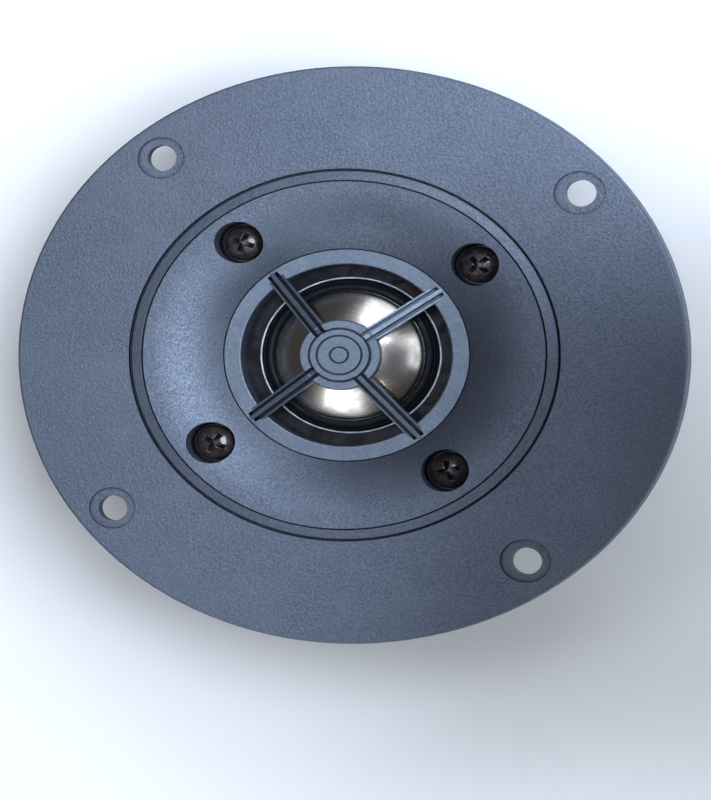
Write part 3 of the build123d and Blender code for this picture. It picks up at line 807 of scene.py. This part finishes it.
def eased_line(corners, steps):
    """A smooth line through all the corners, with a number of steps to each span."""
    line = []
    for index in range(len(corners) - 1):
        before, start = corners[max(index - 1, 0)], corners[index]
        end, after = corners[index + 1], corners[min(index + 2, len(corners) - 1)]
        for step in range(steps):
            t = step / steps
            spot = []
            for p, q, r, s in zip(before, start, end, after):
                curve = (2 * p - 5 * q + 4 * r - s) * t * t + (3 * q - p - 3 * r + s) * t * t * t
                spot.append(0.5 * (2 * q + (r - p) * t + curve))
            line.append(tuple(spot))
    return line + [corners[-1]]


def thicken(line, thickness):
    """A closed outline half a thickness to each side of a line."""
    upper, under = [], []
    for index, (r, z) in enumerate(line):
        r0, z0 = line[max(index - 1, 0)]
        r1, z1 = line[min(index + 1, len(line) - 1)]
        length = math.hypot(r1 - r0, z1 - z0)
        out_r, out_z = -(z1 - z0) / length * thickness / 2, (r1 - r0) / length * thickness / 2
        upper.append((r + out_r, z + out_z))
        under.append((r - out_r, z - out_z))
    return upper + under[::-1]


silk_outline = thicken(eased_line(silk_line, SPAN_STEPS), SILK_T)
silk_roll = make_piece(lathe(silk_outline, SILK_SPANS), "silk_surround", "surround_silk", "surround")
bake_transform(silk_roll)

# %% [markdown]
# ### Glue bead
# A thin bead of clear glue runs round the surround. It was laid by a hand-held needle, so its
# width and height wander a little.

# %% Glue bead
bead_low, bead_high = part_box("surround_bead")
bead_inner_r = min(vertex.co.to_2d().length for vertex in nodes["surround_bead"].data.vertices)
BEAD_R = (bead_high.x + bead_inner_r) / 2
WIDTH_SHARE, HEIGHT_SHARE = 0.82, 0.85    # the rest of the room is for the bead's wandering
STRAY, SWELL, SWELL_MOST = 0.16, 0.22, 1.15
STRAY_SCALE, SWELL_SCALE = 5, 14
SWELL_OFFSET = Vector((3, 1, 7))          # keeps the swelling apart from the straying
ARCH_STEPS = 10
BEAD_SPANS = 240
BEAD_HALF = (bead_high.x - bead_inner_r) / 2 * WIDTH_SHARE
BEAD_RISE = bead_high.z - bead_low.z
bead_outline = [(BEAD_R - BEAD_HALF, bead_low.z)]
for step in range(ARCH_STEPS + 1):
    turn = math.pi * step / ARCH_STEPS
    arch = BEAD_RISE * HEIGHT_SHARE * math.sin(turn)
    bead_outline.append((BEAD_R - BEAD_HALF * math.cos(turn), bead_low.z + arch))


def wander(spot):
    """The needle's path strays sideways, and the glue stands higher where it lingered."""
    around = Vector((spot.x, spot.y, 0)).normalized()
    stray = noise.noise(around * STRAY_SCALE) * STRAY
    swell = 1 + SWELL * noise.noise(around * SWELL_SCALE + SWELL_OFFSET)
    rise = (spot.z - bead_low.z) * min(swell, SWELL_MOST)
    moved = spot + around * stray * BEAD_HALF
    return Vector((moved.x, moved.y, bead_low.z + rise))


bead_mesh = lathe(bead_outline, BEAD_SPANS, wander)
glue_bead = make_piece(bead_mesh, "glue_bead", "clear_adhesive", "surround_bead")
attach(glue_bead, "chassis")

# %% [markdown]
# ### Wound coil
# The voice coil is fine copper wire wound on the former in two layers. Each layer is a helix,
# drawn as one long wire.

# %% Wound coil
coil_low, coil_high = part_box("coil_winding")
film_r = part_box("coil_former")[1].x
WIRE_SHARE = 0.96                 # of the room for two layers, so that they don't fuse
WIRE_GAP = 1.02
WIRE_R = (coil_high.x - film_r) / 4 * WIRE_SHARE
WIRE_SIDES = 8
COIL_POINTS = 48
wire_pitch = 2 * WIRE_R * WIRE_GAP
turn_count = int((coil_high.z - coil_low.z - 2 * WIRE_R) / wire_pitch)
coil_mesh = bmesh.new()
for layer in (0, 1):
    layer_r = film_r + WIRE_R * (WIRE_GAP + 2 * layer)
    wire_path = []
    for step in range(turn_count * COIL_POINTS + 1):
        turn = 2 * math.pi * step / COIL_POINTS
        height = coil_low.z + WIRE_R + step / COIL_POINTS * wire_pitch
        wire_path.append(Vector((layer_r * math.cos(turn), layer_r * math.sin(turn), height)))
    add_tube(coil_mesh, wire_path, WIRE_R, WIRE_SIDES)
coil_wire = make_piece(coil_mesh, "wound_coil", "coil_copper", "coil_winding")
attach(coil_wire, "diaphragm")
print(turn_count, "turns in each layer")

# %% [markdown]
# ### Felt
# Felt has no crisp edge. The disc's rim is rounded and its top is lumpy, with the lumps made
# from two sizes of noise.

# %% Felt pad
felt_low, felt_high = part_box("damping_felt")
felt_t = felt_high.z - felt_low.z
FELT_ROUND = 0.4 * MM
COARSE_SCALE, FINE_SCALE = 700, 1900
COARSE_SHARE, FINE_SHARE = 0.6, 0.4
LUMP_DEPTH = 0.16 * MM
UNDER_STEPS, ROUND_STEPS, TOP_STEPS = 24, 6, 30
FELT_SPANS = 140
felt_outline = [(0.0, felt_low.z)]
felt_outline += [(felt_high.x * step / UNDER_STEPS, felt_low.z) for step in range(1, UNDER_STEPS)]
for step in range(ROUND_STEPS + 1):
    turn = math.pi / 2 * step / ROUND_STEPS
    edge_r = felt_high.x - FELT_ROUND * (1 - math.cos(turn))
    felt_outline.append((edge_r, felt_high.z - FELT_ROUND * (1 - math.sin(turn))))
flat_r = felt_high.x - FELT_ROUND
felt_outline += [(flat_r * (1 - step / TOP_STEPS), felt_high.z) for step in range(1, TOP_STEPS + 1)]


def lumpy(spot):
    """Fibres leave the top uneven. The underside stays flat, because it is glued down."""
    if spot.z < felt_low.z + felt_t / 3:
        return spot
    coarse, fine = noise.noise(spot * COARSE_SCALE), noise.noise(spot * FINE_SCALE)
    lump = COARSE_SHARE * coarse + FINE_SHARE * fine
    return spot - Vector((0, 0, (lump + 1) / 2 * LUMP_DEPTH))


felt_pad = make_piece(lathe(felt_outline, FELT_SPANS, lumpy), "felt_pad", "wool_felt", "damping_felt")
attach(felt_pad, "chassis")

# %% [markdown]
# ### Braided leads
# Each lead between the frame and its terminal is a short rope of copper strands. The strands
# wind round a bowed centre line, three one way and three the other, as in a flat braid.

# %% Braided leads
LEAD_R = 0.45 * MM
END_GAP = 0.12 * MM               # a lead's ends stay inside the box of the part it stands for
TOP_INSET = 1.9                   # how many lead radii the upper end lies inside the box
STRANDS = 6
STRAND_R = 0.13 * MM
STRAND_SIDES = 8
STRAND_POINTS = 40
BRAID_TURNS = 3.0
OUTER_LAY, INNER_LAY = 0.92, 0.80    # strands of one hand lie outside those of the other


def bowed(start, end, low_y):
    """The points of a curve that sags between two ends and touches a low Y half way."""
    middle = (start + end) / 2
    bow = Vector((middle.x, 2 * low_y - middle.y, middle.z))
    shares = [step / STRAND_POINTS for step in range(STRAND_POINTS + 1)]
    return [start.lerp(bow, share).lerp(bow.lerp(end, share), share) for share in shares]


for name in ("positive_lead", "negative_lead"):
    lead_low, lead_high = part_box(name)
    side = 1 if lead_low.x > 0 else -1
    near_x, far_x = sorted((abs(lead_low.x), abs(lead_high.x)))
    start = Vector((side * (near_x + LEAD_R), lead_high.y - LEAD_R, lead_low.z + END_GAP))
    end = Vector((side * (far_x - LEAD_R), lead_high.y - TOP_INSET * LEAD_R, lead_high.z - END_GAP))
    centre = bowed(start, end, lead_low.y + LEAD_R)
    braid_mesh = bmesh.new()
    for strand in range(STRANDS):
        hand = 1 if strand % 2 else -1
        strand_path = []
        for index, spot in enumerate(centre):
            ahead = centre[min(index + 1, STRAND_POINTS)] - centre[max(index - 1, 0)]
            across = ahead.cross(Vector((1, 0, 0))).normalized()
            other = ahead.normalized().cross(across)
            wound = hand * 2 * math.pi * BRAID_TURNS * index / STRAND_POINTS
            turn = wound + strand * 2 * math.pi / STRANDS
            reach = (LEAD_R - STRAND_R) * (OUTER_LAY if hand > 0 else INNER_LAY)
            strand_path.append(spot + (across * math.cos(turn) + other * math.sin(turn)) * reach)
        add_tube(braid_mesh, strand_path, STRAND_R, STRAND_SIDES)
    braid = make_piece(braid_mesh, name.replace("lead", "braid"), "braided_copper", name)
    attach(braid, "chassis")

# %% [markdown]
# ## The end
# The finished model has to fit the engineering model's box.

# %% Finish
print("finished")
